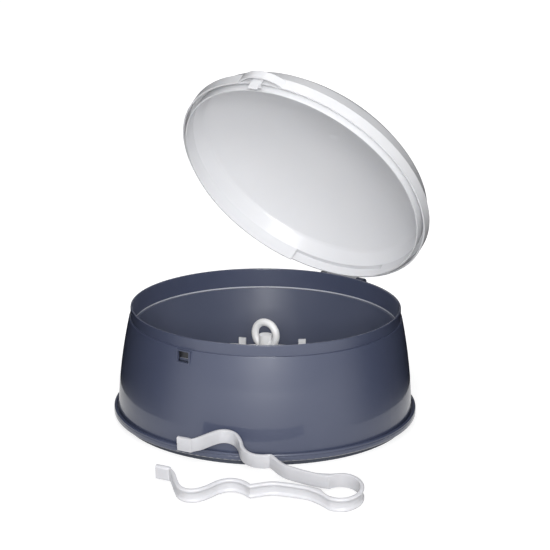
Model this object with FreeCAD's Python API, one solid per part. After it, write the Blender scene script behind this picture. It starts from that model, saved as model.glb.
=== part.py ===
import FreeCAD, Part
import math
import os

# Microwave steam steriliser for baby bottles: a wide round base with a water bowl in it,
# a hinged dome lid that latches at the front, a lift-out bottle rack, and a pair of one-piece
# tongs that leans on the casing. Millimetres. The origin is on the axis of the base,
# on the table it stands on. The latch is at -Y, the hinge at +Y, and +Z is up.

V = FreeCAD.Vector

# ---- driving dimensions -------------------------------------------------------------

# clearances
seat_gap = 0.3            # between pieces that slide together or lie beside each other
running_gap = 0.05        # radial, pin in a turning bore
lid_gap = 0.5             # lid skirt over the collar, radial and above its edge
swing_gap = 1.1           # lid lip inside the collar, radial, for the swing of the lid

# base plate and its rubber foot ring
foot_inset = 7.0          # the foot ring lies this far inside the flange
foot_w = 6.0
foot_h = 5.0
foot_round = 0.8
plate_t = 2.5
plate_sink = 1.0          # the plate's underside lies this far below the foot ring's top
foot_rib_t = 2.2          # rib inside the foot ring that centres it
foot_rib_h = 1.5
flange_reach = 4.0        # beyond the casing's lower edge
flange_t = 5.5
flange_top_z = 11.0
flange_round = 1.6
ledge_drop = 1.5          # the casing stands this far below the flange's top
ledge_w = 3.8
upstand_t = 2.2
upstand_h = 10.0
bowl_rib_inset = 17.0     # the rib under the bowl lies this far inside its floor
bowl_rib_t = 2.5

# casing (the conical outer wall of the base)
wall = 2.5
shell_flare = 10.7        # the wall's lower edge stands this far outside its shoulder
shell_bow = 2.0           # how far the wall bows out from a straight cone
shoulder_z = 96.0
collar_r = 124.0          # the round that the lid, the casing and the bowl are built on
collar_t = 1.9
collar_step = 1.3         # the shoulder stands this far outside the collar
collar_h = 10.0
collar_root = 8.0         # depth of the thick collar root below the shoulder
edge_round = 0.7

# latch slot in the casing
slot_w = 11.6
slot_h = 10.0
slot_top_drop = 1.8       # below the shoulder
slot_depth = 2.2
slot_frame_w = 1.5
slot_frame_t = 0.5

# water bowl and its seal
bowl_t = 2.0
bowl_fit = 0.5            # radial, between the collar and the bowl
bowl_draft = 10.6         # the bowl's floor is this much smaller in radius than its top
bowl_floor_z = 13.7
bowl_corner = 10.0
bowl_rim_w = 2.2
seal_t = 1.2
seal_w = 1.4

# lid
lid_edge_lift = 1.4       # the closed lid's skirt ends this far above the shoulder
skirt_t = 1.5
band_h = 11.0
band_step = 1.6
lip_t = 1.2
lip_drop = 4.4            # the inner lip reaches this far below the skirt
lip_notch_w = 98.0        # the lip is left out at the hinge, where it would foul the collar
shoulder_inset = 9.0      # where the side wall turns into the dome, inside the skirt
shoulder_h = 24.6         # above the skirt's edge
lid_rise = 68.1           # the dome's top above the skirt's edge
lid_t = 2.4
lid_inset_r = 2.8         # the wall's inner shoulder point, inward and down from the outer one
lid_inset_z = 1.4
lid_corner = 9.0
lid_web_in = 6.0          # the hinge web's root reaches this far inside the skirt
lid_web_lift = 1.2        # above the skirt's edge

# hinge
hinge_reach = 8.0         # the pin's axis lies this far behind the skirt
hinge_lift = 1.1          # and this far above its edge
pin_r = 2.0
pin_chamfer = 0.4
ear_r = 5.0
ear_w = 8.0
ear_drop = 1.2            # the ear's web starts this far below the closed lid
ear_root = 8.0            # its foot on the casing lies this far below the collar's root
barrel_r = 4.6
barrel_w = 32.0
pin_overhang = 0.5
open_angle = 55.7         # how far the lid stands open at rest

# latch
lug_r = 34.0              # plan radius of the thumb lug's nose
lug_reach = 7.5           # how far the nose stands out from the skirt
lug_h = 9.0
lug_t = 1.5
lug_round = 1.2
tongue_w = 10.0
tongue_t = 1.5
tongue_drop = 10.4        # below the skirt's edge
tongue_gap = 0.8          # between tongue and casing
hook_floor_gap = 0.4      # between the hook and the bottom of the slot
hook_h = 4.3
hook_play = 0.6           # under the slot's upper edge when the lid is closed
hook_nose = 1.2
tongue_tip = 0.8

# bottle rack
rack_play = 1.5           # radial, between the rack's plate and the bowl
rack_t = 2.4
rack_z = 27.0             # underside of the plate
rim_h = 6.0
rim_t = 2.2
station_count = 6
station_inset = 7.0       # between a bottle place and the edge of the bowl's floor
station_r = 30.0
station_wall_t = 2.0
station_wall_h = 7.0
finger_count = 4
finger_w = 7.0
finger_h = 14.0
spoke_count = 3
spoke_w = 3.0
peg_r = 6.5
peg_h = 15.0
peg_taper = 2.0
peg_round = 1.5
vent_w = 4.0
vent_l = 18.0
vent_inset = 15.0         # the outer vents lie this far inside the bowl's floor
hub_vent_ring_r = 30.0
leg_count = 3
leg_r = 4.5
leg_inset = 13.0          # the legs stand this far inside the bowl's floor
leg_taper = 1.0
leg_gap = 0.2             # between the legs and the bowl's floor
hub_t = 2.0

# rack column
column_r = 7.5
column_t = 2.0
column_taper = 1.5
column_foot_r = 16.0
column_foot_t = 2.4
column_top_z = 92.0
spigot_l = 7.0
handle_r = 15.0
handle_t = 3.4
fin_count = 3
fin_t = 2.0
fin_h = 30.0

# tongs, in their own plane: U runs from the spring ring to the jaws, V outward to an arm
ring_r = 17.2
tong_t = 2.4
tong_h = 13.0
neck_half_angle = 36.0
neck_gap = 0.3
bead_w = 1.2
bead_h = 2.8
bead_root = 9.0           # the beads start this far from the neck
jaw_t = 4.0
jaw_l = 12.5
jaw_round = 1.0
knee_w = 0.5              # the corner between handle and pad stands this much thicker
waist_u = 28.0
waist_v = 9.6
rise_u = 56.0
rise_v = 13.6
corner_u = 70.5
corner_v = 22.9
pad_u = 84.0
pad_v = 18.9
swell_u = 98.0
swell_v = 26.6
belly_u = 115.5
belly_v = 46.0
taper_u = 132.0
taper_v = 31.5
jaw_u = 143.0
jaw_v = 22.0
tongs_heading = -166.8    # plan angle of U
tongs_bearing = -68.6     # polar angle at which the far arm leans on the casing
tongs_lean_z = 21.7       # height of the far arm's lower edge where it leans
tongs_lean_gap = 0.6      # between the far arm and the casing's wall
table_gap = 0.15          # under the near arm and the spring ring

os.makedirs("parts", exist_ok=True)


# ---- helpers ------------------------------------------------------------------------

def save(shape, name):
    """Writes one piece as a clean solid, or a group of solids, to its own file."""
    shape.removeSplitter().exportStep("parts/" + name + ".step")


def wire_of(start, steps, place):
    """A closed wire: a step of one point is a line, a step of two an arc through the first."""
    edges = []
    here = place(start)
    for step in steps:
        points = [place(point) for point in step]
        if len(points) == 1:
            edges.append(Part.makeLine(here, points[0]))
        else:
            edges.append(Part.Arc(here, points[0], points[1]).toShape())
        here = points[-1]
    edges.append(Part.makeLine(here, place(start)))
    return Part.Wire(edges)


def turned(start, *steps):
    """A solid of revolution about Z from an outline of (radius, height) points."""
    face = Part.Face(wire_of(start, steps, lambda p: V(p[0], 0, p[1])))
    return face.revolve(V(0, 0, 0), V(0, 0, 1), 360)


def ring(outer, inner, low, high):
    """A plain round ring between two heights."""
    body = Part.makeCylinder(outer, high - low, V(0, 0, low))
    return body.cut(Part.makeCylinder(inner, high - low, V(0, 0, low)))


def box(x, y, z, size_x, size_y, size_z):
    """A box centred on x and y, standing on z."""
    return Part.makeBox(size_x, size_y, size_z, V(x - size_x / 2, y - size_y / 2, z))


def polar(radius, angle, z=0.0):
    """A point at a radius and an angle in degrees."""
    a = math.radians(angle)
    return V(radius * math.cos(a), radius * math.sin(a), z)


def spun(shape, angle):
    """A copy turned about Z by an angle in degrees."""
    copy = shape.copy()
    copy.rotate(V(0, 0, 0), V(0, 0, 1), angle)
    return copy


def round_rims(shape, size, *rims):
    """Rounds the circular edges that lie at the given (radius, height) pairs."""
    picked = []
    for edge in shape.Edges:
        if edge.Degenerated or not isinstance(edge.Curve, Part.Circle):
            continue
        curve = edge.Curve
        for radius, height in rims:
            if abs(curve.Radius - radius) < 0.05 and abs(curve.Center.z - height) < 0.05:
                picked.append(edge)
    return shape.makeFillet(size, picked)


class Bow:
    """An upright arc (radius against height) through three points."""

    def __init__(self, low, middle, high):
        arc = Part.Arc(V(low[0], 0, low[1]), V(middle[0], 0, middle[1]), V(high[0], 0, high[1]))
        circle = arc.toShape().Curve
        self.centre = circle.Center
        self.radius = circle.Radius

    def at(self, z, inset=0.0):
        """The radius of the surface at a height, set in by a wall."""
        rise = z - self.centre.z
        return self.centre.x + math.sqrt((self.radius - inset) ** 2 - rise ** 2)


def opened(shape):
    """Swings a piece of the closed lid up to the angle at which it stands."""
    copy = shape.copy()
    copy.rotate(V(0, hinge_y, hinge_z), V(1, 0, 0), -open_angle)
    return copy


# ---- sizes that follow from the driving dimensions ---------------------------------------

shell_top_r = collar_r + collar_step
shell_bottom_r = shell_top_r + shell_flare
flange_r = shell_bottom_r + flange_reach
foot_r = flange_r - foot_inset
collar_top_z = shoulder_z + collar_h
bowl_top_r = collar_r - collar_t - bowl_fit
bowl_floor_r = bowl_top_r - bowl_draft
bowl_rib_r = bowl_floor_r - bowl_rib_inset
lid_edge_z = shoulder_z + lid_edge_lift
lid_top_z = lid_edge_z + lid_rise
skirt_r = collar_r + lid_gap + skirt_t
shoulder_r = skirt_r - shoulder_inset
hinge_y = skirt_r + hinge_reach
hinge_z = lid_edge_z + hinge_lift
station_ring_r = bowl_floor_r - station_r - station_inset
vent_ring_r = bowl_floor_r - vent_inset
leg_ring_r = bowl_floor_r - leg_inset
ledge_z = flange_top_z - ledge_drop
flange_low_z = flange_top_z - flange_t
plate_low_z = foot_h - plate_sink
plate_top_z = plate_low_z + plate_t
shell_mid_z = (ledge_z + shoulder_z) / 2
shell_mid_r = (shell_bottom_r + shell_top_r) / 2 + shell_bow
shell = Bow((shell_bottom_r, ledge_z), (shell_mid_r, shell_mid_z), (shell_top_r, shoulder_z))
upstand_r = shell.at(ledge_z + upstand_h, wall) - seat_gap
collar_inner_r = collar_r - collar_t
collar_root_z = shoulder_z - collar_root
bowl_rim_top_z = collar_root_z - seal_t
bowl_rim_r = bowl_top_r + bowl_rim_w
bowl_under_z = bowl_floor_z - bowl_t
bowl_corner_z = bowl_under_z + bowl_corner
bowl_inner_floor_r = bowl_floor_r - bowl_t
bowl_slope = (bowl_top_r - bowl_floor_r) / (bowl_rim_top_z - bowl_corner_z)
rack_r = bowl_inner_floor_r + bowl_slope * (rack_z - bowl_corner_z) - rack_play
skirt_inner_r = skirt_r - skirt_t
lip_r = collar_inner_r - swing_gap
lip_inner_r = lip_r - lip_t
lip_edge_z = lid_edge_z - lip_drop
groove_roof_z = collar_top_z + lid_gap
band_top_z = lid_edge_z + band_h
lid_shoulder_z = lid_edge_z + shoulder_h
barrel_gap_x = barrel_w / 2 + seat_gap
slot_top_z = shoulder_z - slot_top_drop
slot_low_z = slot_top_z - slot_h
slot_r = shell.at(slot_top_z - slot_h / 2)
slot_floor_r = slot_r - slot_depth
tongue_face_r = shell.at(slot_low_z) + tongue_gap
tongue_root_z = lid_edge_z + lug_h - lug_t - seat_gap


# ---- base -------------------------------------------------------------------------------

def make_foot_ring():
    """The rubber ring that the base stands on."""
    foot = ring(foot_r, foot_r - foot_w, 0, foot_h)
    return round_rims(foot, foot_round, (foot_r, 0), (foot_r - foot_w, 0))


def make_base_plate():
    """Bottom plate with the flange lip, a ledge for the casing and a rib under the bowl."""
    foot_in = foot_r - foot_w - seat_gap
    ledge_r = upstand_r + ledge_w
    plate = turned(
        (0, plate_low_z),
        [(foot_in - foot_rib_t, plate_low_z)],
        [(foot_in - foot_rib_t, plate_low_z - foot_rib_h)],
        [(foot_in, plate_low_z - foot_rib_h)],
        [(foot_in, foot_h)],
        [(foot_r + seat_gap, foot_h)],
        [(foot_r + seat_gap, flange_low_z)],
        [(flange_r, flange_low_z)],
        [(flange_r, flange_top_z)],
        [(ledge_r, flange_top_z)],
        [(ledge_r, ledge_z)],
        [(upstand_r, ledge_z)],
        [(upstand_r, ledge_z + upstand_h)],
        [(upstand_r - upstand_t, ledge_z + upstand_h)],
        [(upstand_r - upstand_t, plate_top_z)],
        [(0, plate_top_z)],
    )
    plate = round_rims(plate, flange_round, (flange_r, flange_low_z), (flange_r, flange_top_z))
    rib_in = bowl_rib_r - bowl_rib_t
    return plate.fuse(ring(bowl_rib_r, rib_in, plate_top_z, bowl_under_z))


def make_ear(x):
    """One hinge ear on the back of the casing, with its bore for the pin."""
    web_top_z = lid_edge_z - lid_gap - ear_drop
    wall_y = collar_r - wall
    outline = Part.makePolygon([
        V(0, wall_y, web_top_z),
        V(0, hinge_y - ear_r / 2, web_top_z),
        V(0, hinge_y, hinge_z),
        V(0, hinge_y + ear_r * 0.8, hinge_z - ear_r * 0.6),
        V(0, wall_y, collar_root_z - ear_root),
        V(0, wall_y, web_top_z),
    ])
    ear = Part.Face(outline).extrude(V(ear_w, 0, 0))
    ear = ear.fuse(Part.makeCylinder(ear_r, ear_w, V(0, hinge_y, hinge_z), V(1, 0, 0)))
    ear.translate(V(x, 0, 0))
    return ear


def make_body_shell():
    """Conical casing with the recessed collar, the latch slot and the hinge ears."""
    root_r = shell.at(collar_root_z, wall)
    body = turned(
        (shell.at(ledge_z), ledge_z),
        [(shell_mid_r, shell_mid_z), (shell_top_r, shoulder_z)],
        [(collar_r, shoulder_z)],
        [(collar_r, collar_top_z)],
        [(collar_inner_r, collar_top_z)],
        [(collar_inner_r, collar_root_z)],
        [(root_r, collar_root_z)],
        [(shell.at(shell_mid_z, wall), shell_mid_z), (shell.at(ledge_z, wall), ledge_z)],
    )
    body = round_rims(body, edge_round, (shell_top_r, shoulder_z), (collar_r, collar_top_z),
                      (collar_inner_r, collar_top_z))
    ears = make_ear(barrel_gap_x).fuse(make_ear(-barrel_gap_x - ear_w))
    inside = Part.makeCylinder(root_r, collar_top_z)
    body = body.fuse(ears.cut(inside))
    frame_low_z = slot_low_z - slot_frame_w
    frame = box(0, -slot_r, frame_low_z, slot_w + 2 * slot_frame_w, 4 * wall,
                shoulder_z - edge_round - frame_low_z)
    frame = frame.common(Part.makeCylinder(shell.at(slot_low_z) + slot_frame_t, collar_top_z))
    body = body.fuse(frame.cut(Part.makeCylinder(slot_r - wall / 2, collar_top_z)))
    opening = box(0, -slot_r, slot_low_z, slot_w, 8 * wall, slot_h)
    body = body.cut(opening.cut(Part.makeCylinder(slot_floor_r, collar_top_z)))
    bore_l = 2 * (barrel_gap_x + 2 * ear_w)
    bore = Part.makeCylinder(pin_r + running_gap, bore_l, V(-bore_l / 2, hinge_y, hinge_z), V(1, 0, 0))
    return body.cut(bore)


def make_bowl_seal():
    """The silicone ring between the casing's collar root and the bowl's rim."""
    outer = bowl_rim_r - seat_gap
    return ring(outer, outer - seal_w, bowl_rim_top_z, collar_root_z)


def make_water_bowl():
    """The bowl that holds the water and the rack, with a rim that seals under the collar."""
    sag = 1 - math.sqrt(0.5)
    outer_bend = bowl_corner * sag
    inner_corner = bowl_corner - bowl_t
    inner_bend = inner_corner * sag
    return turned(
        (0, bowl_under_z),
        [(bowl_floor_r - bowl_corner, bowl_under_z)],
        [(bowl_floor_r - outer_bend, bowl_under_z + outer_bend), (bowl_floor_r, bowl_corner_z)],
        [(bowl_top_r - bowl_slope * bowl_t, bowl_rim_top_z - bowl_t)],
        [(bowl_rim_r, bowl_rim_top_z - bowl_t)],
        [(bowl_rim_r, bowl_rim_top_z)],
        [(bowl_top_r - bowl_t, bowl_rim_top_z)],
        [(bowl_inner_floor_r, bowl_corner_z)],
        [(bowl_inner_floor_r - inner_bend, bowl_floor_z + inner_bend),
         (bowl_inner_floor_r - inner_corner, bowl_floor_z)],
        [(0, bowl_floor_z)],
    )


def make_hinge_pin():
    """The plastic pin through the ears and the lid's barrel."""
    length = 2 * (barrel_gap_x + ear_w + pin_overhang)
    pin = Part.makeCylinder(pin_r, length, V(-length / 2, hinge_y, hinge_z), V(1, 0, 0))
    return pin.makeChamfer(pin_chamfer, [edge for edge in pin.Edges if isinstance(edge.Curve, Part.Circle)])


# ---- lid, drawn closed and then swung open -------------------------------------------------

def lug_nose(inset):
    """The plan disc that makes the thumb lug's nose, set in by a wall."""
    centre_y = -(skirt_r + lug_reach - lug_r)
    return V(0, centre_y, 0), lug_r - inset


def make_lid_shell():
    """Dome with the skirt and inner lip that straddle the collar, hinge barrel and lug."""
    dome_foot = (shoulder_r, lid_shoulder_z)
    inner_foot_r = shoulder_r - lid_inset_r
    inner_foot_z = lid_shoulder_z - lid_inset_z

    def dome_point(foot_r, foot_z, top_z):
        """The point half way up an arc from the dome's foot to its top."""
        rise = top_z - foot_z
        radius = (foot_r ** 2 + rise ** 2) / (2 * rise)
        half = math.asin(foot_r / radius) / 2
        return (radius * math.sin(half), top_z - radius + radius * math.cos(half))

    lid = turned(
        (skirt_inner_r, lid_edge_z),
        [(skirt_r, lid_edge_z)],
        [(skirt_r, band_top_z)],
        [(skirt_r - band_step, band_top_z)],
        [dome_foot],
        [dome_point(shoulder_r, lid_shoulder_z, lid_top_z), (0, lid_top_z)],
        [(0, lid_top_z - lid_t)],
        [dome_point(inner_foot_r, inner_foot_z, lid_top_z - lid_t), (inner_foot_r, inner_foot_z)],
        [(lip_inner_r, groove_roof_z)],
        [(lip_inner_r, lip_edge_z)],
        [(lip_r, lip_edge_z)],
        [(lip_r, groove_roof_z)],
        [(skirt_inner_r, groove_roof_z)],
    )
    lid = round_rims(lid, lid_corner, dome_foot)
    lid = round_rims(lid, lid_corner - lid_t, (inner_foot_r, inner_foot_z))
    lid = round_rims(lid, edge_round, (skirt_r, band_top_z))
    notch_h = groove_roof_z - lip_edge_z
    notch = Part.makeBox(lip_notch_w, skirt_inner_r, notch_h, V(-lip_notch_w / 2, 0, lip_edge_z))
    lid = lid.cut(notch.common(Part.makeCylinder(lip_r + seat_gap, groove_roof_z)))

    centre, outer = lug_nose(0)
    lug = Part.makeCylinder(outer, lug_h, centre + V(0, 0, lid_edge_z))
    lug = round_rims(lug, lug_round, (outer, lid_edge_z + lug_h))
    centre, hollow = lug_nose(lug_t)
    lug = lug.cut(Part.makeCylinder(hollow, lug_h - lug_t, centre + V(0, 0, lid_edge_z)))
    front_y = -(skirt_r - lug_reach)
    keep = Part.makeBox(4 * lug_r, lug_r, 2 * lug_h, V(-2 * lug_r, front_y - lug_r, lid_edge_z))
    lug = lug.common(keep).cut(Part.makeCylinder(skirt_r - skirt_t / 2, lug_h, V(0, 0, lid_edge_z)))
    lid = lid.fuse(lug)

    web_low_z = lid_edge_z + lid_web_lift
    web_top_z = band_top_z - edge_round
    half_chord = barrel_r * math.sqrt(0.5)
    web = Part.Face(Part.makePolygon([
        V(0, skirt_r - lid_web_in, web_low_z),
        V(0, hinge_y - half_chord, web_low_z),
        V(0, hinge_y, hinge_z),
        V(0, hinge_y + half_chord, hinge_z + half_chord),
        V(0, skirt_r + skirt_t, web_top_z),
        V(0, skirt_r - lid_web_in, web_top_z),
        V(0, skirt_r - lid_web_in, web_low_z),
    ])).extrude(V(barrel_w, 0, 0))
    web.translate(V(-barrel_w / 2, 0, 0))
    web = web.cut(Part.makeCylinder(skirt_r - skirt_t / 2, lid_shoulder_z))
    barrel = Part.makeCylinder(barrel_r, barrel_w, V(-barrel_w / 2, hinge_y, hinge_z), V(1, 0, 0))
    bore = Part.makeCylinder(pin_r + running_gap, barrel_w, V(-barrel_w / 2, hinge_y, hinge_z), V(1, 0, 0))
    return opened(lid.fuse(web).fuse(barrel).cut(bore))


def make_lid_latch():
    """The flexing tongue under the thumb lug, with the hook that drops into the slot."""
    face_r = tongue_face_r
    tip_z = lid_edge_z - tongue_drop
    hook_top_z = slot_top_z - hook_play
    hook_r = slot_floor_r + hook_floor_gap
    outline = Part.Face(Part.makePolygon([
        V(0, -face_r, tongue_root_z),
        V(0, -face_r - tongue_t, tongue_root_z),
        V(0, -face_r - tongue_t, tip_z + tongue_tip),
        V(0, -face_r - tongue_t + tongue_tip, tip_z),
        V(0, -face_r, tip_z),
        V(0, -face_r, hook_top_z - hook_h),
        V(0, -hook_r, hook_top_z - hook_nose),
        V(0, -hook_r, hook_top_z),
        V(0, -face_r, hook_top_z),
        V(0, -face_r, tongue_root_z),
    ]))
    tongue = outline.extrude(V(tongue_w, 0, 0))
    tongue.translate(V(-tongue_w / 2, 0, 0))
    return opened(tongue)


# ---- rack ---------------------------------------------------------------------------------

def make_station(angle):
    """One bottle place: a low wall with guide fingers, spokes across it and a teat peg."""
    top_z = rack_z + rack_t
    outer = station_r + station_wall_t
    wall_ring = ring(outer, station_r, rack_z, top_z + station_wall_h)
    fingers = ring(outer, station_r, rack_z, top_z + finger_h)
    posts = []
    for index in range(finger_count):
        turn = 360 / finger_count * (index + 0.5)
        post = box(outer, 0, rack_z, 4 * station_wall_t, finger_w, finger_h + rack_t)
        posts.append(spun(fingers.common(post), turn))
    for index in range(spoke_count):
        spoke = box(outer / 2, 0, rack_z, outer, spoke_w, rack_t)
        posts.append(spun(spoke, 360 / spoke_count * index))
    peg = Part.makeCone(peg_r, peg_r - peg_taper, peg_h, V(0, 0, rack_z))
    peg = round_rims(peg, peg_round, (peg_r - peg_taper, rack_z + peg_h))
    station = wall_ring.multiFuse(posts + [peg])
    station.translate(V(station_ring_r, 0, 0))
    return spun(station, angle)


def make_bottle_rack():
    """Plate with the bottle places, a rolled rim, steam slots, a hub and legs."""
    plate = Part.makeCylinder(rack_r, rack_t, V(0, 0, rack_z))
    rim = ring(rack_r, rack_r - rim_t, rack_z, rack_z + rim_h)
    rim = round_rims(rim, rim_t * 0.4, (rack_r, rack_z + rim_h), (rack_r - rim_t, rack_z + rim_h))
    cuts = []
    stations = []
    legs = []
    for index in range(station_count):
        angle = 360 / station_count * (index + 0.5)
        hole = Part.makeCylinder(station_r, rack_t, polar(station_ring_r, angle, rack_z))
        cuts.append(hole)
        stations.append(make_station(angle))
        outer_vent = box(vent_ring_r, 0, rack_z, vent_w, vent_l, rack_t)
        cuts.append(spun(outer_vent, 360 / station_count * index))
        inner_vent = box(hub_vent_ring_r, 0, rack_z, vent_w, vent_l / 2, rack_t)
        cuts.append(spun(inner_vent, 360 / station_count * index))
    for index in range(leg_count):
        foot = polar(leg_ring_r, 360 / leg_count * index + 90, bowl_floor_z + leg_gap)
        legs.append(Part.makeCone(leg_r - leg_taper, leg_r, rack_z - foot.z, foot))
    rack = plate.multiFuse([rim]).cut(Part.makeCompound(cuts)).multiFuse(stations + legs)
    hub = Part.makeCylinder(column_r + seat_gap + hub_t, spigot_l, V(0, 0, rack_z + rack_t - spigot_l))
    bore = Part.makeCylinder(column_r - column_t + seat_gap, 3 * spigot_l, V(0, 0, rack_z - spigot_l))
    return rack.fuse(hub).cut(bore)


def make_rack_column():
    """The centre column that snaps into the hub, with a loop handle to lift the rack by."""
    seat_z = rack_z + rack_t
    foot = Part.makeCylinder(column_foot_r, column_foot_t, V(0, 0, seat_z))
    stem_h = column_top_z - handle_r - seat_z
    stem = Part.makeCone(column_r, column_r - column_taper, stem_h, V(0, 0, seat_z))
    spigot = Part.makeCylinder(column_r - column_t, spigot_l, V(0, 0, seat_z - spigot_l))
    parts = [stem, spigot]
    for index in range(fin_count):
        fin = Part.Face(Part.makePolygon([
            V(0, -fin_t / 2, seat_z),
            V(column_foot_r - fin_t, -fin_t / 2, seat_z),
            V(column_foot_r - fin_t, -fin_t / 2, seat_z + column_foot_t),
            V(column_r - column_taper, -fin_t / 2, seat_z + fin_h),
            V(0, -fin_t / 2, seat_z + fin_h),
            V(0, -fin_t / 2, seat_z),
        ])).extrude(V(0, fin_t, 0))
        parts.append(spun(fin, 360 / fin_count * index))
    loop = Part.makeTorus(handle_r - handle_t, handle_t, V(0, 0, column_top_z - handle_r), V(0, 1, 0))
    return foot.multiFuse(parts + [loop])


# ---- tongs ----------------------------------------------------------------------------------

def tongs_plane():
    """Where the tongs lie: near arm and ring on the table, far arm leaning on the casing."""
    outer_edge = beside(arm_curves()[1], tong_t / 2 + bead_w)
    belly = max(outer_edge, key=lambda p: p.y)
    slope_v = (table_gap - tongs_lean_z) / (2 * belly.y)
    ring_v = ring_r + tong_t / 2 + bead_w
    slope_u = slope_v * (ring_v - belly.y) / belly.x
    run = math.sqrt(1 - slope_u ** 2)
    along = V(run, 0, slope_u)
    side_x = -slope_u * slope_v / run
    across = V(side_x, math.sqrt(1 - side_x ** 2 - slope_v ** 2), slope_v)
    normal = along.cross(across)
    local = FreeCAD.Placement(FreeCAD.Matrix(
        along.x, across.x, normal.x, 0,
        along.y, across.y, normal.y, 0,
        along.z, across.z, normal.z, 0,
        0, 0, 0, 1))
    turn = FreeCAD.Placement(V(), FreeCAD.Rotation(V(0, 0, 1), tongs_heading))
    leaning = turn.multiply(local)
    toward = polar(1, tongs_bearing)
    edge = [leaning.multVec(V(p.x, -p.y, 0)) for p in outer_edge]
    touch = min(edge, key=lambda p: p.dot(toward))
    lift = table_gap - slope_v * ring_v
    place = polar(shell.at(touch.z + lift) + tongs_lean_gap, tongs_bearing) - touch
    leaning.Base = V(place.x, place.y, lift)
    return leaning


def spline(points):
    """A smooth curve through the points."""
    curve = Part.BSplineCurve()
    curve.interpolate([V(u, v, 0) for u, v in points])
    return curve


def beside(curve, offset):
    """Points along a curve, set off to its left."""
    count = 40
    points = []
    for index in range(count + 1):
        t = curve.FirstParameter + (curve.LastParameter - curve.FirstParameter) * index / count
        here = curve.value(t)
        run = curve.tangent(t)[0]
        points.append(V(here.x - run.y * offset, here.y + run.x * offset, here.z))
    return points


def band(curves, near, far, low, high):
    """A wall along the curves between two sideways offsets and two heights."""
    walls = []
    for curve in curves:
        lines = []
        for offset in (near, far):
            line = Part.BSplineCurve()
            line.interpolate([V(p.x, p.y, low) for p in beside(curve, offset)])
            lines.append(line)
        inner, outer = lines
        far_end = Part.makeLine(inner.EndPoint, outer.EndPoint)
        near_end = Part.makeLine(outer.StartPoint, inner.StartPoint)
        ends = [far_end, near_end]
        outline = Part.Wire(Part.__sortEdges__([inner.toShape(), outer.toShape()] + ends))
        walls.append(Part.Face(outline).extrude(V(0, 0, high - low)))
    return walls


def neck_wedge(gap):
    """The plan wedge between the two necks, set off from the spring ring's ends by a gap."""
    a = math.radians(neck_half_angle)
    apex = gap / math.sin(a)
    reach = belly_u + jaw_u
    return Part.Face(Part.makePolygon([
        V(apex, 0, 0),
        V(apex + reach * math.cos(a), -reach * math.sin(a), 0),
        V(apex + reach * math.cos(a), reach * math.sin(a), 0),
        V(apex, 0, 0),
    ])).extrude(V(0, 0, tong_h))


def arm_curves():
    """The plan of one arm: from the neck to the corner, then the thumb pad and the belly."""
    a = math.radians(neck_half_angle)
    back = spline([
        ((ring_r - tong_t) * math.cos(a), ring_r * math.sin(a)),
        (waist_u, waist_v),
        (rise_u, rise_v),
        (corner_u, corner_v),
    ])
    front = spline([
        (corner_u, corner_v),
        (pad_u, pad_v),
        (swell_u, swell_v),
        (belly_u, belly_v),
        (taper_u, taper_v),
        (jaw_u, jaw_v),
    ])
    return back, front


def make_arm(side):
    """One arm of the tongs: a strip on edge with beads along its rims and a jaw."""
    back, front = arm_curves()
    solids = band([back, front], -tong_t / 2, tong_t / 2, 0, tong_h)
    bead_start = bead_root / back.length()
    beads = [trimmed(back, bead_start, 1.0), front]
    for low in (0, tong_h - bead_h):
        solids += band(beads, 0, tong_t / 2 + bead_w, low, low + bead_h)
    knee = Part.makeCylinder(tong_t / 2 + knee_w, tong_h, V(corner_u, corner_v, 0))
    elbow = Part.makeCylinder(jaw_t / 2, tong_h, V(jaw_u, jaw_v, 0))
    jaw = Part.makeBox(jaw_l, jaw_t, tong_h, V(jaw_u, jaw_v - jaw_t / 2, 0))
    tip_edges = [edge for edge in jaw.Edges if edge.CenterOfMass.x > jaw_u + jaw_l - jaw_round]
    jaw = jaw.makeFillet(jaw_round, tip_edges)
    arm = solids[0].multiFuse(solids[1:] + [knee, elbow, jaw]).common(neck_wedge(neck_gap))
    if side < 0:
        arm = arm.mirror(V(0, 0, 0), V(0, 1, 0))
    arm.Placement = tongs_plane().multiply(arm.Placement)
    return arm


def trimmed(curve, start, end):
    """The stretch of a curve between two shares of its length."""
    first = curve.FirstParameter
    span = curve.LastParameter - first
    part = curve.copy()
    part.segment(first + span * start, first + span * end)
    return part


def make_tongs_spring():
    """The spring ring that joins the two arms, open at the neck."""
    outer = ring_r + tong_t / 2
    spring = ring(outer, outer - tong_t, 0, tong_h)
    bead_side = box(-ring_r, 0, 0, 3 * ring_r, 4 * ring_r, tong_h)
    for low in (0, tong_h - bead_h):
        bead = ring(outer + bead_w, outer - tong_t / 2, low, low + bead_h)
        spring = spring.fuse(bead.common(bead_side))
    spring = spring.cut(neck_wedge(0))
    spring.Placement = tongs_plane().multiply(spring.Placement)
    return spring


# ---- output -----------------------------------------------------------------------------------

save(make_foot_ring(), "foot_ring")
save(make_base_plate(), "base_plate")
save(make_body_shell(), "body_shell")
save(make_bowl_seal(), "bowl_seal")
save(make_water_bowl(), "water_bowl")
save(make_hinge_pin(), "hinge_pin")
save(make_lid_shell(), "lid_shell")
save(make_lid_latch(), "lid_latch")
save(make_bottle_rack(), "bottle_rack")
save(make_rack_column(), "rack_column")
save(make_tongs_spring(), "tongs_spring")
save(make_arm(1), "tongs_near_arm")
save(make_arm(-1), "tongs_far_arm")
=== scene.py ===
import math

import bmesh
import bpy
from mathutils import Matrix, Vector


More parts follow.
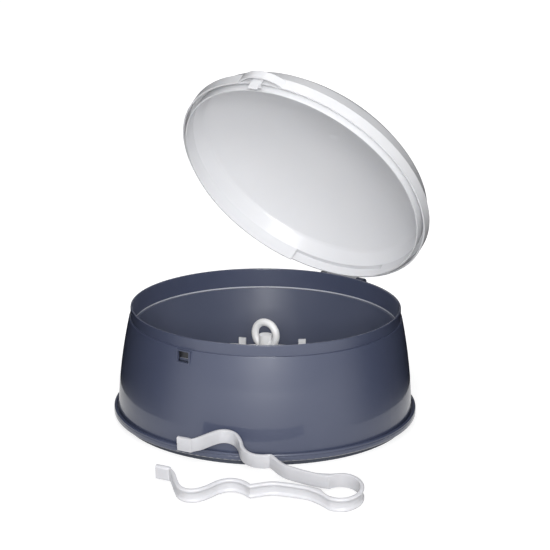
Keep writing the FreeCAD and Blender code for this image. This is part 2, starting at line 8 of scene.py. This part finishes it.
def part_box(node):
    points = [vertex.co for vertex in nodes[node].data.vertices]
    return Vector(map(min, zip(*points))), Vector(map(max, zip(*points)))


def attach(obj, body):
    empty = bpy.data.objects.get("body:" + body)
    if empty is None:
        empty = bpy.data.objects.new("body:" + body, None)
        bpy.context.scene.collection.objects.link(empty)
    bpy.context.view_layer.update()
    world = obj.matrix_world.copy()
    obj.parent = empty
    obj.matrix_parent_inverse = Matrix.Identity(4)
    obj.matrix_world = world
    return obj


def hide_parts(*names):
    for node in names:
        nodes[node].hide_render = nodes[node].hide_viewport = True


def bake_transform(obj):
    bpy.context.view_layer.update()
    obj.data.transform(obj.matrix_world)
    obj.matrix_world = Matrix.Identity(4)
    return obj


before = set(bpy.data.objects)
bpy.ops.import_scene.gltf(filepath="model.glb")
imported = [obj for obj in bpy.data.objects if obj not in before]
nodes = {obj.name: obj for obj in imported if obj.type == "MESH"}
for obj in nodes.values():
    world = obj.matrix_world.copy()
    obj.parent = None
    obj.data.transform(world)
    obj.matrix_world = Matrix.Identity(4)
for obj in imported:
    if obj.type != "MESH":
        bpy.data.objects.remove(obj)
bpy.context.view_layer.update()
MM = 0.001


# ---- helpers for the finishes ---------------------------------------------------------

def linear(hex_colour):
    """An sRGB hex colour as the linear RGBA that Blender's shaders take."""
    channels = [int(hex_colour[i:i + 2], 16) / 255 for i in (1, 3, 5)]
    return [c / 12.92 if c <= 0.04045 else ((c + 0.055) / 1.055) ** 2.4 for c in channels] + [1.0]


def add(tree, kind, settings=None, inputs=None):
    """Adds a node: its own settings, then its sockets, each a value or the socket that feeds it."""
    made = tree.nodes.new("ShaderNode" + kind)
    for name, value in (settings or {}).items():
        setattr(made, name, value)
    for name, value in (inputs or {}).items():
        if isinstance(value, bpy.types.NodeSocket):
            tree.links.new(value, made.inputs[name])
        else:
            made.inputs[name].default_value = value
    return made


def new_material(name):
    """An empty node material."""
    material = bpy.data.materials.new(name)
    material.use_nodes = True
    material.node_tree.nodes.clear()
    return material, material.node_tree


def per_metre(size_mm):
    """The scale of a pattern whose features are this many millimetres across."""
    return 1.0 / (size_mm * MM)


def painted_slot_shade(tree, place):
    """Painted shade mask: 1 on the sunk faces of the casing's latch slot, which get painted
    near-black shade for the dark of the through hole, else 0.
    """
    low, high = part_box("body_shell")
    half_width = 5.9 * MM
    slot_low = high.z - 22.0 * MM
    slot_high = high.z - 11.6 * MM
    sunk_radius = 125.6 * MM    # the slot's floor lies inside this radius, the wall outside it
    casing_middle = 0.0         # the slot is on the -Y side of it
    axes = add(tree, "SeparateXYZ", None, {0: place})
    sideways = add(tree, "Math", {"operation": "ABSOLUTE"}, {0: axes.outputs["X"]})
    narrow = add(tree, "Math", {"operation": "LESS_THAN"}, {
        0: sideways.outputs[0], 1: half_width})
    above = add(tree, "Math", {"operation": "GREATER_THAN"}, {
        0: axes.outputs["Z"], 1: slot_low})
    below = add(tree, "Math", {"operation": "LESS_THAN"}, {
        0: axes.outputs["Z"], 1: slot_high})
    level = add(tree, "Math", {"operation": "MULTIPLY"}, {
        0: above.outputs[0], 1: below.outputs[0]})
    front = add(tree, "Math", {"operation": "LESS_THAN"}, {
        0: axes.outputs["Y"], 1: casing_middle})
    flat = add(tree, "VectorMath", {"operation": "MULTIPLY"}, {0: place, 1: (1, 1, 0)})
    radius = add(tree, "VectorMath", {"operation": "LENGTH"}, {0: flat.outputs[0]})
    sunk = add(tree, "Math", {"operation": "LESS_THAN"}, {
        0: radius.outputs["Value"], 1: sunk_radius})
    window = add(tree, "Math", {"operation": "MULTIPLY"}, {
        0: narrow.outputs[0], 1: level.outputs[0]})
    facing = add(tree, "Math", {"operation": "MULTIPLY"}, {
        0: front.outputs[0], 1: sunk.outputs[0]})
    inside = add(tree, "Math", {"operation": "MULTIPLY"}, {
        0: window.outputs[0], 1: facing.outputs[0]})
    return inside.outputs[0]


def moulded_finish(name, colour, shade, gloss, rough, ripple_mm, ripple_depth_mm, glow=0.0,
                   skin=0.0, paint_slot_shade=False):
    """A finish moulded in a tool: an even colour with slow cloudy shifts to a second shade, a
    gloss that wanders between two roughnesses, and a faint ripple from the tool's polish.
    glow is the light that thin pale plastic lets through, and skin the sharper gloss that a
    polished tool leaves on top."""
    cloud_mm = 60
    wiped_mm = 28
    moulded_ior = 1.49
    scatter_depth = 2 * MM
    skin_roughness = 0.07
    material, tree = new_material(name)
    place = add(tree, "TexCoord").outputs["Object"]
    cloud = add(tree, "TexNoise", None, {
        "Vector": place, "Scale": per_metre(cloud_mm), "Detail": 3.0})
    tint = add(tree, "MixRGB", {"blend_type": "MIX"}, {
        "Fac": cloud.outputs["Fac"], "Color1": linear(colour), "Color2": linear(shade)})
    # Painted shade: the sunk faces of the latch slot are mixed to near-black for the dark of the
    # through hole.
    if paint_slot_shade:
        tint = add(tree, "MixRGB", {"blend_type": "MIX"}, {
            "Fac": painted_slot_shade(tree, place), "Color1": tint.outputs["Color"],
            "Color2": linear("#0D0E13")})
    wiped = add(tree, "TexNoise", None, {
        "Vector": place, "Scale": per_metre(wiped_mm), "Detail": 5.0, "Roughness": 0.6})
    gloss_range = add(tree, "MapRange", None, {
        "Value": wiped.outputs["Fac"], "From Min": 0.3, "From Max": 0.7,
        "To Min": gloss, "To Max": rough})
    ripple = add(tree, "TexNoise", None, {
        "Vector": place, "Scale": per_metre(ripple_mm), "Detail": 2.0})
    relief = add(tree, "Bump", None, {
        "Height": ripple.outputs["Fac"], "Strength": 1.0, "Distance": ripple_depth_mm * MM})
    moulded = add(tree, "BsdfPrincipled", None, {
        "Base Color": tint.outputs["Color"], "Roughness": gloss_range.outputs["Result"],
        "IOR": moulded_ior, "Subsurface Weight": glow, "Subsurface Radius": (1.0, 0.9, 0.8),
        "Subsurface Scale": scatter_depth, "Coat Weight": skin,
        "Coat Roughness": skin_roughness, "Coat IOR": moulded_ior,
        "Normal": relief.outputs["Normal"]})
    add(tree, "OutputMaterial", None, {"Surface": moulded.outputs["BSDF"]})
    return material


# ---- finishes ---------------------------------------------------------------------------

# Casing: polypropylene from a polished tool, so a slate blue with a clear skin that mirrors
# the room softly along the wall. The inside of its latch slot is painted near-black, a painted
# shade standing in for the dark of the through hole.
slate_casing = moulded_finish("moulded slate polypropylene", "#41475C", "#3D4358",
                              0.40, 0.46, 9, 0.003, skin=0.5, paint_slot_shade=True)

# Base plate and hinge pin: the same slate plastic from a brighter part of the tool, so the
# flange's edge takes a crisper line of light.
dark_plate = moulded_finish("moulded plate polypropylene", "#41475C", "#3D4358",
                            0.34, 0.42, 9, 0.003, skin=0.5)

# Water bowl: polypropylene from a plain tool, a shade lighter and without the clear skin.
bowl_plastic = moulded_finish("moulded bowl polypropylene", "#4B5062", "#464B5C",
                              0.3, 0.4, 3, 0.004)

# Lid and latch: white polypropylene from a polished tool, the glossiest of the whites. Its
# thin wall lets a little light through, which softens the shade inside the dome.
white_lid = moulded_finish("moulded white polypropylene", "#E5E5E7", "#E0E1E4",
                           0.18, 0.26, 12, 0.004, glow=0.1)

# Rack and column: white polypropylene from a blasted tool, so a satin with no sharp lights.
rack_plastic = moulded_finish("satin white polypropylene", "#E6E6E6", "#E1E1E2",
                              0.35, 0.45, 2, 0.004, glow=0.1)

# Tongs: satin white polypropylene in a thin strip. It is greyer than the lid and lets more
# light through, which softens its shading.
tongs_plastic = moulded_finish("satin tongs polypropylene", "#D0D0D3", "#CACACE",
                               0.34, 0.44, 2, 0.004, glow=0.2)

# Foot: moulded rubber, darker and duller than the plastic above it.
foot_rubber = moulded_finish("moulded foot rubber", "#353A47", "#313642",
                             0.5, 0.62, 1, 0.006)

# Seal: moulded silicone, cloudy and pale, which reads as a thin light line round the rim.
seal_silicone = moulded_finish("moulded silicone", "#B9BBC2", "#B2B4BB",
                               0.4, 0.5, 1, 0.005, glow=0.3)

finishes = {
    "body_shell": slate_casing, "base_plate": dark_plate, "foot_ring": foot_rubber,
    "bowl_seal": seal_silicone, "water_bowl": bowl_plastic, "hinge_pin": dark_plate,
    "lid_shell": white_lid, "lid_latch": white_lid, "bottle_rack": rack_plastic,
    "rack_column": rack_plastic, "tongs_spring": tongs_plastic,
    "tongs_near_arm": tongs_plastic, "tongs_far_arm": tongs_plastic}
for node_name, finish in finishes.items():
    nodes[node_name].data.materials.clear()
    nodes[node_name].data.materials.append(finish)


# ---- shared ways of making a piece --------------------------------------------------------

def join_rows(bm, near, far):
    """Faces between two rows of points that each run once round a closed section."""
    for i in range(len(near)):
        j = (i + 1) % len(near)
        bm.faces.new((near[i], near[j], far[j], far[i]))


def finish_piece(bm, name, material, sharp_degrees=180):
    """Shades a mesh smooth up to an angle and puts it in the scene with its material."""
    bmesh.ops.recalc_face_normals(bm, faces=bm.faces)
    for face in bm.faces:
        face.smooth = True
    for edge in bm.edges:
        edge.smooth = edge.calc_face_angle(0) < math.radians(sharp_degrees)
    mesh = bpy.data.meshes.new(name)
    bm.to_mesh(mesh)
    bm.free()
    piece = bpy.data.objects.new(name, mesh)
    bpy.context.scene.collection.objects.link(piece)
    mesh.materials.append(material)
    return piece


# ---- base -------------------------------------------------------------------------------

def flange_bead():
    """The rolled bead on the flange's edge, half sunk in it, which catches a line of light."""
    flange_top = 11.0 * MM
    bead_radius = 1.5 * MM
    inside_edge = 0.1 * MM
    turns = 288
    arc_start, arc_sweep, arc_steps = -60, 300, 12
    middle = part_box("base_plate")[1].x - bead_radius - inside_edge
    profile = []
    for index in range(arc_steps + 1):
        angle = math.radians(arc_start + arc_sweep * index / arc_steps)
        profile.append((middle + bead_radius * math.cos(angle),
                        flange_top + bead_radius * math.sin(angle)))
    bm = bmesh.new()
    rings = []
    for step in range(turns):
        turn = 2 * math.pi * step / turns
        rings.append([bm.verts.new((r * math.cos(turn), r * math.sin(turn), z))
                      for r, z in profile])
    for here, after in zip(rings, rings[1:] + rings[:1]):
        join_rows(bm, here, after)
    bead = finish_piece(bm, "flange_bead", dark_plate)
    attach(bead, "base")


flange_bead()


# ---- tongs ------------------------------------------------------------------------------
# One springy moulding: a strip bent round a ring and out into two arms, with a round bead along
# each outer rim. It is drawn in its own plane, U from the ring to the jaws and V outward to an
# arm, then laid down on its near side with its far arm against the casing.

# Lengths here are in millimetres.

strip_thickness = 2.1
strip_height = 13.0
bead_out = 1.35
bead_height = 3.6
ring_radius = 17.2
neck_angle = 36.0           # degrees round the ring from U, where an arm leaves it
neck = (13.9, 10.1)
handle_line = [neck, (28.0, 9.6), (43.0, 10.9), (56.0, 13.6), (70.5, 22.9)]
grip_line = [(70.5, 22.9), (76.5, 20.0), (84.0, 18.9), (91.5, 21.0), (98.0, 26.6),
             (104.0, 36.2), (110.5, 43.0), (118.0, 45.4), (125.0, 43.0), (131.0, 36.0),
             (136.5, 28.2), (143.0, 22.6)]
jaw_end = 155.3
jaw_thickness = 4.0
bead_fades = (136, 142)     # along U, where the bead runs out before the jaw
tongs_place = (Matrix.Translation((0.17374, -0.14584, 0.00452))
               @ Matrix.Rotation(math.radians(-166.8), 4, "Z")
               @ Matrix.Rotation(math.radians(-3.2), 4, "Y")
               @ Matrix.Rotation(math.radians(-12.9), 4, "X"))


def smooth_line(points, per_span=8):
    """A curve through the points, Catmull-Rom."""
    ends = [Vector(p) for p in points]
    ends = [2 * ends[0] - ends[1]] + ends + [2 * ends[-1] - ends[-2]]
    line = []
    for a, b, c, d in zip(ends, ends[1:], ends[2:], ends[3:]):
        for step in range(per_span):
            t = step / per_span
            line.append(0.5 * (2 * b + (c - a) * t + (2 * a - 5 * b + 4 * c - d) * t ** 2
                               + (3 * b - a - 3 * c + d) * t ** 3))
    line.append(ends[-2])
    return line


def strip_section(half, bead):
    """The strip's section, offset from its middle line against height: flat inside, with a
    bead along each rim outside."""
    top = strip_height
    out = half + bead
    lower = [(-half + 0.5, 0.0), (out - 1.1, 0.0), (out - 0.4, 0.25 * bead_height * 0.5),
             (out, 0.32 * bead_height), (out, 0.5 * bead_height),
             (out - 0.3 * bead, 0.72 * bead_height), (half + 0.25 * bead, 0.9 * bead_height),
             (half, 1.15 * bead_height)]
    upper = [(offset, top - height) for offset, height in reversed(lower)]
    return lower + upper + [(-half + 0.12, top - 0.15), (-half, top - 0.5), (-half, 0.5),
                            (-half + 0.12, 0.15)]


def eased(value, low, high):
    """0 below low, 1 above high and smooth between."""
    t = min(1.0, max(0.0, (value - low) / (high - low)))
    return t * t * (3 - 2 * t)


def middle_line():
    """The strip's middle line from the back of the ring to the end of the jaw."""
    ring_steps = 24
    line = []
    for step in range(ring_steps):
        angle = math.radians(180 - (180 - neck_angle) * step / ring_steps)
        line.append(Vector((ring_radius * math.cos(angle), ring_radius * math.sin(angle))))
    line += smooth_line(handle_line)[:-1] + smooth_line(grip_line)
    jaw_start, jaw_offset = grip_line[-1]
    for share in (0.08, 0.5, 1.0):
        line.append(Vector((jaw_end - (jaw_end - jaw_start) * (1 - share), jaw_offset)))
    return line


def outer_face(line):
    """The middle line with its kink at the neck smoothed out, for the beaded outer face."""
    passes, pull = 24, 0.7
    neck_reach, neck_outside = 10, 17
    outer_line = list(line)
    for _ in range(passes):
        for index in range(1, len(line) - 1):
            if abs(line[index].x - neck[0]) < neck_reach and line[index].y < neck_outside:
                middle = (outer_line[index - 1] + outer_line[index + 1]) / 2
                outer_line[index] = outer_line[index].lerp(middle, pull)
    return outer_line


def tongs_half(name, side):
    """Half of the spring ring with one arm. side is 1 for the near arm and -1 for the far arm."""
    line = middle_line()
    outer_line = outer_face(line)
    jaw_start = grip_line[-1][0]
    bm = bmesh.new()
    rows = []
    for index, here in enumerate(line):
        before = line[max(index - 1, 0)]
        after = line[min(index + 1, len(line) - 1)]
        run = (after - before).normalized() if index else Vector((0, 1))
        outward = Vector((-run.y, run.x))
        jaw = eased(here.x, jaw_start - 0.8, jaw_start + 0.4)
        half = (strip_thickness + (jaw_thickness - strip_thickness) * jaw) / 2
        bead = bead_out * (1 - eased(here.x, *bead_fades))
        row = []
        for offset, height in strip_section(half, bead):
            spot = (outer_line[index] if offset > 0 else here) + outward * offset
            row.append(bm.verts.new(tongs_place @ (Vector((spot.x, side * spot.y, height)) * MM)))
        rows.append(row)
    for near, far in zip(rows, rows[1:]):
        join_rows(bm, near, far)
    bm.faces.new(rows[0])
    bm.faces.new(list(reversed(rows[-1])))
    half_tongs = finish_piece(bm, name, tongs_plastic, sharp_degrees=38)
    rounding = half_tongs.modifiers.new("moulded corners", "BEVEL")
    rounding.width = 0.5 * MM
    rounding.segments = 2
    rounding.limit_method = "ANGLE"
    rounding.angle_limit = math.radians(50)
    rounding.harden_normals = True
    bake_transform(half_tongs)
    return half_tongs


near_tongs = tongs_half("tongs_near_half", 1)
far_tongs = tongs_half("tongs_far_half", -1)
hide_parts("tongs_near_arm", "tongs_spring")
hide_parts("tongs_far_arm")


# ---- studio -----------------------------------------------------------------------------

def seen_or_mirrored(tree):
    """1 for what the camera sees straight, in gloss or through clear plastic, else 0."""
    path = add(tree, "LightPath")
    either = add(tree, "Math", {"operation": "MAXIMUM"}, {
        0: path.outputs["Is Camera Ray"], 1: path.outputs["Is Glossy Ray"]})
    return add(tree, "Math", {"operation": "MAXIMUM"}, {
        0: either.outputs[0], 1: path.outputs["Is Transmission Ray"]}).outputs[0]


def studio_floor():
    """A plain pale paper floor, white to the camera and in gloss. Near the object its white
    is held down a little, so that the object's shadow shows there."""
    half = 6.0
    below = 0.2 * MM
    shadow_from, shadow_to = 0.17, 0.30
    mesh = bpy.data.meshes.new("studio_floor")
    mesh.from_pydata([(-half, -half, 0), (half, -half, 0), (half, half, 0), (-half, half, 0)],
                     [], [(0, 1, 2, 3)])
    floor = bpy.data.objects.new("studio_floor", mesh)
    bpy.context.scene.collection.objects.link(floor)
    floor.location.z = -below
    material, tree = new_material("pale paper")
    paper = add(tree, "BsdfDiffuse", None, {"Color": linear("#C8C8C8")})
    place = add(tree, "TexCoord").outputs["Object"]
    far = add(tree, "VectorMath", {"operation": "LENGTH"}, {0: place})
    glow = add(tree, "MapRange", {"interpolation_type": "SMOOTHSTEP"}, {
        "Value": far.outputs["Value"], "From Min": shadow_from, "From Max": shadow_to,
        "To Min": 0.80, "To Max": 1.0})
    shaded = add(tree, "BsdfDiffuse", None, {"Color": linear("#A0A0A0")})
    white = add(tree, "Emission", None, {"Color": (1, 1, 1, 1), "Strength": glow.outputs["Result"]})
    both = add(tree, "AddShader", None, {0: shaded.outputs[0], 1: white.outputs[0]})
    mix = add(tree, "MixShader", None, {
        0: seen_or_mirrored(tree), 1: paper.outputs[0], 2: both.outputs[0]})
    add(tree, "OutputMaterial", None, {"Surface": mix.outputs[0]})
    mesh.materials.append(material)


def dark_flag(name, middle_deg, spread, radii_heights):
    """A sweep of black velvet round the object that only its gloss sees, to draw its edges
    dark. The velvet thins to nothing between the two values of spread."""
    steps = 72
    arc = 300
    reach_back = 0.1
    verts = []
    for step in range(steps + 1):
        angle = math.radians(middle_deg - arc / 2 + arc * step / steps)
        reach = reach_back * (1 - math.cos(angle - math.radians(middle_deg))) / 2
        for inner, height in radii_heights:
            radius = inner + reach
            verts.append((radius * math.cos(angle), radius * math.sin(angle), height))
    rows = len(radii_heights)
    faces = []
    for step in range(steps):
        for row in range(rows - 1):
            corner = step * rows + row
            faces.append((corner, corner + 1, corner + rows + 1, corner + rows))
    mesh = bpy.data.meshes.new(name)
    mesh.from_pydata(verts, [], faces)
    flag = bpy.data.objects.new(name, mesh)
    bpy.context.scene.collection.objects.link(flag)
    material, tree = new_material("black velvet")
    place = add(tree, "TexCoord").outputs["Object"]
    flat = add(tree, "VectorMath", {"operation": "MULTIPLY"}, {0: place, 1: (1, 1, 0)})
    outward = add(tree, "VectorMath", {"operation": "NORMALIZE"}, {0: flat.outputs[0]})
    middle = math.radians(middle_deg)
    facing = add(tree, "VectorMath", {"operation": "DOT_PRODUCT"}, {
        0: outward.outputs[0], 1: (math.cos(middle), math.sin(middle), 0)})
    cover = add(tree, "MapRange", {"interpolation_type": "SMOOTHSTEP"}, {
        "Value": facing.outputs["Value"], "From Min": spread[0], "From Max": spread[1]})
    velvet = add(tree, "BsdfDiffuse", None, {"Color": linear("#0B0C10")})
    clear = add(tree, "BsdfTransparent")
    mix = add(tree, "MixShader", None, {
        0: cover.outputs["Result"], 1: clear.outputs[0], 2: velvet.outputs[0]})
    add(tree, "OutputMaterial", None, {"Surface": mix.outputs[0]})
    mesh.materials.append(material)
    flag.visible_camera = False
    flag.visible_diffuse = False
    flag.visible_shadow = False
    flag.visible_transmission = False


def lamp(name, at, aim, size, power):
    """A square white soft box, in metres and watts."""
    data = bpy.data.lights.new(name, "AREA")
    data.shape = "SQUARE"
    data.size = size
    data.energy = power
    soft_box = bpy.data.objects.new(name, data)
    bpy.context.scene.collection.objects.link(soft_box)
    soft_box.location = at
    soft_box.rotation_euler = (Vector(aim) - Vector(at)).to_track_quat("-Z", "Y").to_euler()


studio_floor()
dark_flag("velvet_surround", 124, (-0.80, -0.35),
          [(0.165, 0.0), (0.167, 0.2), (0.17, 0.45)])
lamp("key_soft_box", (0.95, -1.4, 1.5), (0, 0, 0.12), 1.0, 17)
lamp("low_soft_box", (1.02, -1.52, 0.70), (0, 0, 0.12), 0.5, 27)
lamp("top_soft_box", (-0.2, -0.3, 2.0), (0, 0, 0.0), 1.0, 5)
lamp("back_soft_box", (-1.1, 1.6, 1.2), (0, 0, 0.12), 1.2, 9)

world = bpy.data.worlds.new("studio")
bpy.context.scene.world = world
world.use_nodes = True
sky = world.node_tree
sky.nodes.clear()
room = add(sky, "Background", None, {"Color": linear("#8F9094"), "Strength": 0.35})
backdrop = add(sky, "Background", None, {"Color": linear("#FDFDFD"), "Strength": 1.0})
seen = add(sky, "MixShader", None, {
    0: seen_or_mirrored(sky), 1: room.outputs[0], 2: backdrop.outputs[0]})
add(sky, "OutputWorld", None, {"Surface": seen.outputs[0]})

camera_data = bpy.data.cameras.new("camera")
camera_data.lens = 123.5
camera_data.sensor_width = 36
camera_data.clip_end = 50
camera = bpy.data.objects.new("camera", camera_data)
bpy.context.scene.collection.objects.link(camera)
heading, tilt, roll = math.radians(33.687), math.radians(74.308), math.radians(0.512)
camera.matrix_world = (Matrix.Translation((0.928, -1.3774, 0.6005))
                       @ Matrix.Rotation(heading, 4, "Z") @ Matrix.Rotation(tilt, 4, "X")
                       @ Matrix.Rotation(roll, 4, "Z"))
bpy.context.scene.camera = camera

bpy.context.scene.view_settings.view_transform = "Standard"
